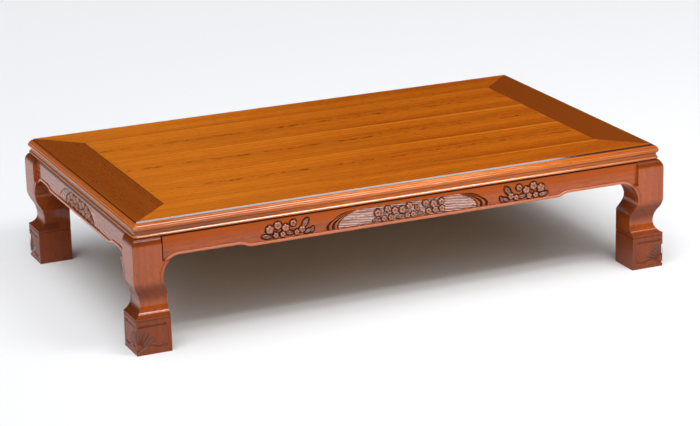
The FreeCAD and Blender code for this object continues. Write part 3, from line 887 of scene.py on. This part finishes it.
# Legs: bowed legs sawn from two faces in solid wood, with a square carved foot, bolted to the corner blocks.
# The foot has a gouged line, a waved line and a fan of leaves round its outer corner on both outer faces.
leg_corner = (-0.750, -0.450)
foot_line = 0.0872
fan_root = (0.002, 0.017)
fan_degrees = (22.0, 38.0, 54.0, 70.0, 86.0)
fan_start = 0.011
fan_leaf = (0.040, 0.0062, 0.0026, 1.25, 0.72)
wave_points = ((-0.002, 0.0105), (0.034, 0.0230), (0.059, 0.0168), (0.081, 0.0195))
hollow_range = (0.0003, 0.0015)
deepest_hollow = 0.0026
edge_clearance = 0.0002
# Each painted shade of a leg: the heights where it starts and is full, and its strength at both.
foot_painted_shade = (0.107, 0.100, 0.0, 0.46)
slope_painted_shade = (0.124, 0.112, 0.0, 0.75)
head_painted_shade = (0.280, 0.288, 0.0, 0.62)
# The knee gets painted shade by the distance from its height in the same way.
knee_height = 0.157
knee_painted_shade = (0.036, 0.010, 0.0, 0.50)
slope_foot = 0.0945
end_face_depth = 0.06
# Each inner face: its axis, the other axis, where its painted shade starts, where the outer face is, its
# strength.
inner_faces = (("X", "Y", 0.690, 0.447, 0.16), ("Y", "X", 0.390, 0.747, 0.50))
inner_fade = 0.030
inner_head = 0.235


def face_depths(tree, split):
    """How deep a point lies below the end face and the long face of its leg."""
    return [reckon(tree, "SUBTRACT", -face, reckon(tree, "ABSOLUTE", split[axis]))
            for axis, face in zip("XY", leg_corner)]


def foot_carving_group():
    """Marks the hollows below the two outer faces of a foot."""
    tree, split, result = mask_group("foot carving")
    depths = face_depths(tree, split)
    masks = []
    for depth, other in (depths, depths[::-1]):
        hollow = ramp(tree, depth, *hollow_range, eased=False)
        near = reckon(tree, "LESS_THAN", depth, deepest_hollow)
        clear = reckon(tree, "GREATER_THAN", other, edge_clearance)
        masks.append(reckon(tree, "MULTIPLY", hollow, reckon(tree, "MULTIPLY", near, clear)))
    low = reckon(tree, "LESS_THAN", split["Z"], foot_line)
    feed(tree, result, reckon(tree, "MULTIPLY", reckon(tree, "MAXIMUM", *masks), low))
    return tree


def leg_painted_shade_group():
    """Marks where a leg gets painted shade: foot, slope above it, knee, inner faces and head."""
    tree, split, result = mask_group("leg painted shade")
    up = split["Z"]
    depths = face_depths(tree, split)
    from_knee = reckon(tree, "ABSOLUTE", reckon(tree, "SUBTRACT", up, knee_height))
    shades = [ramp(tree, up, *foot_painted_shade), ramp(tree, from_knee, *knee_painted_shade), ramp(tree, up, *head_painted_shade)]
    for axis, other, inner, outer, share in inner_faces:
        reach = reckon(tree, "ABSOLUTE", split[axis])
        behind = reckon(tree, "LESS_THAN", reckon(tree, "ABSOLUTE", split[other]), outer)
        hidden = reckon(tree, "MULTIPLY", behind, reckon(tree, "LESS_THAN", up, inner_head))
        inner_face = ramp(tree, reach, inner, inner - inner_fade, 0.0, share)
        shades.append(reckon(tree, "MULTIPLY", inner_face, hidden))
    end_face = reckon(tree, "MULTIPLY", reckon(tree, "LESS_THAN", *depths),
                      reckon(tree, "LESS_THAN", depths[0], end_face_depth))
    slope = reckon(tree, "MULTIPLY", ramp(tree, up, *slope_painted_shade),
                   reckon(tree, "GREATER_THAN", up, slope_foot))
    shades.append(reckon(tree, "MULTIPLY", slope, end_face))
    shade = shades[0]
    for other_shade in shades[1:]:
        shade = reckon(tree, "MAXIMUM", shade, other_shade)
    feed(tree, result, shade)
    return tree


foot_carving = foot_carving_group()
leg_painted_shade = leg_painted_shade_group()
painted_shade_dark = (0.055, 0.014, 0.006, 1.0)
leg_tones = ((0.405, 0.074, 0.007, 1.0), (0.255, 0.043, 0.005, 1.0), (0.150, 0.026, 0.004, 1.0))
foot_glaze_and_shade_share = 0.38
leg_gloss = 1.56


def leg_wood(name, grain_start):
    """Wood of one leg with painted shade, dull where the painted shade lies, with a dark glaze in the hollows
    of the foot that is also painted shade there.
    """
    material = lacquered_wood(name, leg_tones, along_z, grain_start, 0.012, 0.04)
    tree = material.node_tree
    # Painted shade on the foot, the slope above it, the knee, the inner faces and the head.
    shade = grouped(tree, leg_painted_shade, {"Vector": own_place(material)})["Mask"]
    overlaid(material, shade, 1.0, painted_shade_dark)
    # Dark glaze in the foot's hollows, which is also painted shade there.
    hollow = grouped(tree, foot_carving, {"Vector": own_place(material)})["Mask"]
    overlaid(material, hollow, foot_glaze_and_shade_share, glaze_and_shade)
    dulled = reckon(tree, "SUBTRACT", shade, hollow, clamp=True)
    gloss = {"Coat IOR": leg_gloss, "Coat Weight": reckon(tree, "SUBTRACT", 1.0, dulled)}
    feed_all(tree, tree.nodes["Principled BSDF"], gloss)
    return material


def wave_height(along):
    """Height of the waved line, eased from one of its points to the next."""
    for (start, low), (end, high) in zip(wave_points, wave_points[1:]):
        if along <= end:
            break
    share = min(1.0, max(0.0, (along - start) / (end - start)))
    return low + (high - low) * (1.0 - math.cos(math.pi * share)) / 2


def foot_cutter(face, place, degrees, length, half_width, depth, fullness, taper, height=None):
    """A round-nosed cutter for one groove, laid on the front or the left face of the front left foot."""
    cutter = ball(12, 31, (0.0, 0.0, 0.0), (0.0, 0.0, 0.0), (1.0, 1.0, 1.0))
    slope = math.radians(degrees)
    for point in cutter.data.vertices:
        share = (point.co.z + 1.0) / 2
        ring = math.hypot(point.co.x, point.co.y)
        swell = min(1.0, fullness * ring) / max(ring, 0.0001)
        along = length * share
        wide = half_width * (1.0 - taper + taper * share) * swell * point.co.x
        inward = place[0] + along * math.cos(slope) - wide * math.sin(slope)
        up = place[1] + along * math.sin(slope) + wide * math.cos(slope)
        if height:
            up = height(inward) + wide
        out = -cutter_lift + depth * swell * point.co.y
        if face == "front":
            point.co = (leg_corner[0] + inward, leg_corner[1] + out, up)
        else:
            point.co = (leg_corner[0] + out, leg_corner[1] + inward, up)
    edit_all(cutter, bpy.ops.mesh.normals_make_consistent, inside=False)
    return cutter


# Each groove: its start, its slope in degrees, its length, half width, depth, fullness and taper.
foot_grooves = {
    "gouged line": ((0.005, 0.0745), 0.0, 0.074, 0.0033, 0.0024, 7.0, 0.0),
    "side line": ((0.0825, 0.0215), 90.0, 0.049, 0.0009, 0.0009, 9.0, 0.0),
    "waved line": (wave_points[0], 0.0, 0.083, 0.0030, 0.0024, 7.0, 0.0, wave_height),
}
carved_leg = solid_copy("leg_front_left", "front_left_leg")
for face in ("front", "left"):
    for groove in foot_grooves.values():
        cut(carved_leg, foot_cutter(face, *groove))
    for degrees in fan_degrees:
        slope = math.radians(degrees)
        start = (fan_root[0] + fan_start * math.cos(slope), fan_root[1] + fan_start * math.sin(slope))
        cut(carved_leg, foot_cutter(face, start, degrees, *fan_leaf))
legs = {"front_left": (1.0, 1.0), "front_right": (-1.0, 1.0),
        "back_left": (1.0, -1.0), "back_right": (-1.0, -1.0)}
for number, (corner, (across, along)) in enumerate(legs.items()):
    leg = copy_of(carved_leg, corner + "_leg")
    leg.scale = (across, along, 1.0)
    placed(leg)
    edit_all(leg, bpy.ops.mesh.normals_make_consistent, inside=False)
    smooth(leg, 30)
    finish = leg_wood("leg wood " + corner, (0.9 * number, 0.21 * number, 0.3))
    finish_piece(leg, finish, "base_wood", "leg_" + corner)
bpy.data.objects.remove(carved_leg)

# Corner blocks, buttons and fasteners: bare wood blocks screwed inside the frame, which hold the leg bolts.
# Wooden buttons clip into slots in the aprons and hold the top down.
# The screws, bolts, washers and nuts are steel.
for number, corner in enumerate(legs):
    start = (0.5 * number, 0.7, 0.3)
    paint("corner_block_" + corner, bare_wood("block wood " + corner, along_x, start, 0.010))
paint("top_buttons", bare_wood("button wood", along_x, (0.1, 0.9, 0.6), 0.008))
steel = bpy.data.materials.new("steel")
steel.use_nodes = True
tree = steel.node_tree
wear_scale = 320.0
smoothest = 0.26
roughest = 0.44
wear = tree.nodes.new("ShaderNodeTexNoise")
feed_all(tree, wear, {"Vector": tree.nodes.new("ShaderNodeTexCoord").outputs["Object"], "Scale": wear_scale})
dullness = ramp(tree, wear.outputs["Fac"], 0.0, 1.0, smoothest, roughest, eased=False)
steel_finish = {"Base Color": (0.55, 0.54, 0.51, 1.0), "Metallic": 1.0, "Roughness": dullness}
feed_all(tree, tree.nodes["Principled BSDF"], steel_finish)
for fastener in ("button_screws", "corner_block_screws", "batten_screws", "leg_hanger_bolts",
                 "leg_bolt_washers", "leg_bolt_nuts"):
    paint(fastener, steel)

# Floor and light: a plain pale floor under a bright soft ceiling, with four narrow lamps high in front.
# The camera stands where the photograph was taken.
stand_alone()
bpy.ops.mesh.primitive_plane_add(size=40.0, location=(0.0, 0.0, 0.0))
floor = bpy.context.object
floor.name = "studio_floor"
floor_finish = bpy.data.materials.new("pale floor")
floor_finish.use_nodes = True
tree = floor_finish.node_tree
feed_all(tree, tree.nodes["Principled BSDF"], {"Base Color": (0.78, 0.78, 0.78, 1.0), "Roughness": 0.9})
floor.data.materials.append(floor_finish)

# Each lamp: its place, the point that it faces, its width, its breadth and its power.
bpy.context.scene.view_settings.view_transform = "Standard"
lamps = {
    "strip_lamp": ((1.13, -1.85, 3.2), (1.13, -0.43, 0.34), 1.98, 0.3, 20.0),
    "middle_lamp": ((1.10, -1.85, 3.2), (1.10, -0.43, 0.34), 1.0, 0.3, 6.5),
    "front_lamp": ((1.30, -2.6, 3.2), (1.30, -0.44, 0.3), 2.20, 0.3, 36.0),
    "far_lamp": ((2.415, -1.966, 2.75), (0.70, -0.44, 0.11), 0.7, 0.35, 3.0),
}
for name, (place, target, width, breadth, power) in lamps.items():
    bpy.ops.object.light_add(type="AREA", location=place)
    lamp = bpy.context.object
    lamp.name = name
    lamp.data.shape = "RECTANGLE"
    lamp.data.size = width
    lamp.data.size_y = breadth
    lamp.data.energy = power
    lamp.rotation_euler = (Vector(target) - Vector(place)).to_track_quat("-Z", "Y").to_euler()

studio = bpy.data.worlds.new("studio")
studio.use_nodes = True
sky = studio.node_tree
direction = sky.nodes.new("ShaderNodeTexCoord").outputs["Generated"]
heading = axes(sky, direction)
ceiling_middle = (-0.13, -0.36, 1.0)
ceiling_range = (0.52, 0.82)
ceiling_dim = 0.03
ceiling_bright = 2.1
gap_middle = 0.37
gap_range = (0.13, 0.25)
gap_dim = 0.12
window_middle = (-0.30, -0.40, 1.0)
window_edge = math.cos(math.radians(26))
window_full = math.cos(math.radians(11))
window_bright = 2.4
horizon_head = 0.20
horizon_bright = 0.35
sky_colour = (0.95, 0.97, 1.0, 1.0)


def nearness(middle):
    """How nearly a direction points to the middle of a bright field."""
    node = sky.nodes.new("ShaderNodeVectorMath")
    node.operation = "DOT_PRODUCT"
    feed(sky, node.inputs[0], direction)
    feed(sky, node.inputs[1], Vector(middle).normalized())
    return node.outputs["Value"]


ceiling = ramp(sky, nearness(ceiling_middle), *ceiling_range, ceiling_dim, ceiling_bright, eased=False)
from_gap = reckon(sky, "ABSOLUTE", reckon(sky, "SUBTRACT", heading["X"], gap_middle))
gap = ramp(sky, from_gap, *gap_range, gap_dim)
window = ramp(sky, nearness(window_middle), window_edge, window_full, 0.0, window_bright)
horizon = ramp(sky, heading["Z"], horizon_head, 0.0, 0.0, horizon_bright)
overhead = reckon(sky, "ADD", reckon(sky, "MULTIPLY", ceiling, gap), window)
brightness = reckon(sky, "ADD", overhead, horizon)
feed_all(sky, sky.nodes["Background"], {"Strength": brightness, "Color": sky_colour})
bpy.context.scene.world = studio

camera_place = (-2.533, -5.875, 2.145)
camera_turn = math.radians(-23.56)
camera_drop = math.radians(17.44)
camera_roll = math.radians(-1.41)
photo_width = 700
focal_pixels = 2453.2
bpy.ops.object.camera_add(location=camera_place)
camera = bpy.context.object
camera.data.sensor_width = 36.0
camera.data.lens = camera.data.sensor_width * focal_pixels / photo_width
camera.data.clip_end = 100.0
aim = (Matrix.Rotation(camera_turn, 3, "Z") @ Matrix.Rotation(math.pi / 2 - camera_drop, 3, "X")
       @ Matrix.Rotation(camera_roll, 3, "Z"))
camera.rotation_euler = aim.to_euler()
bpy.context.scene.camera = camera
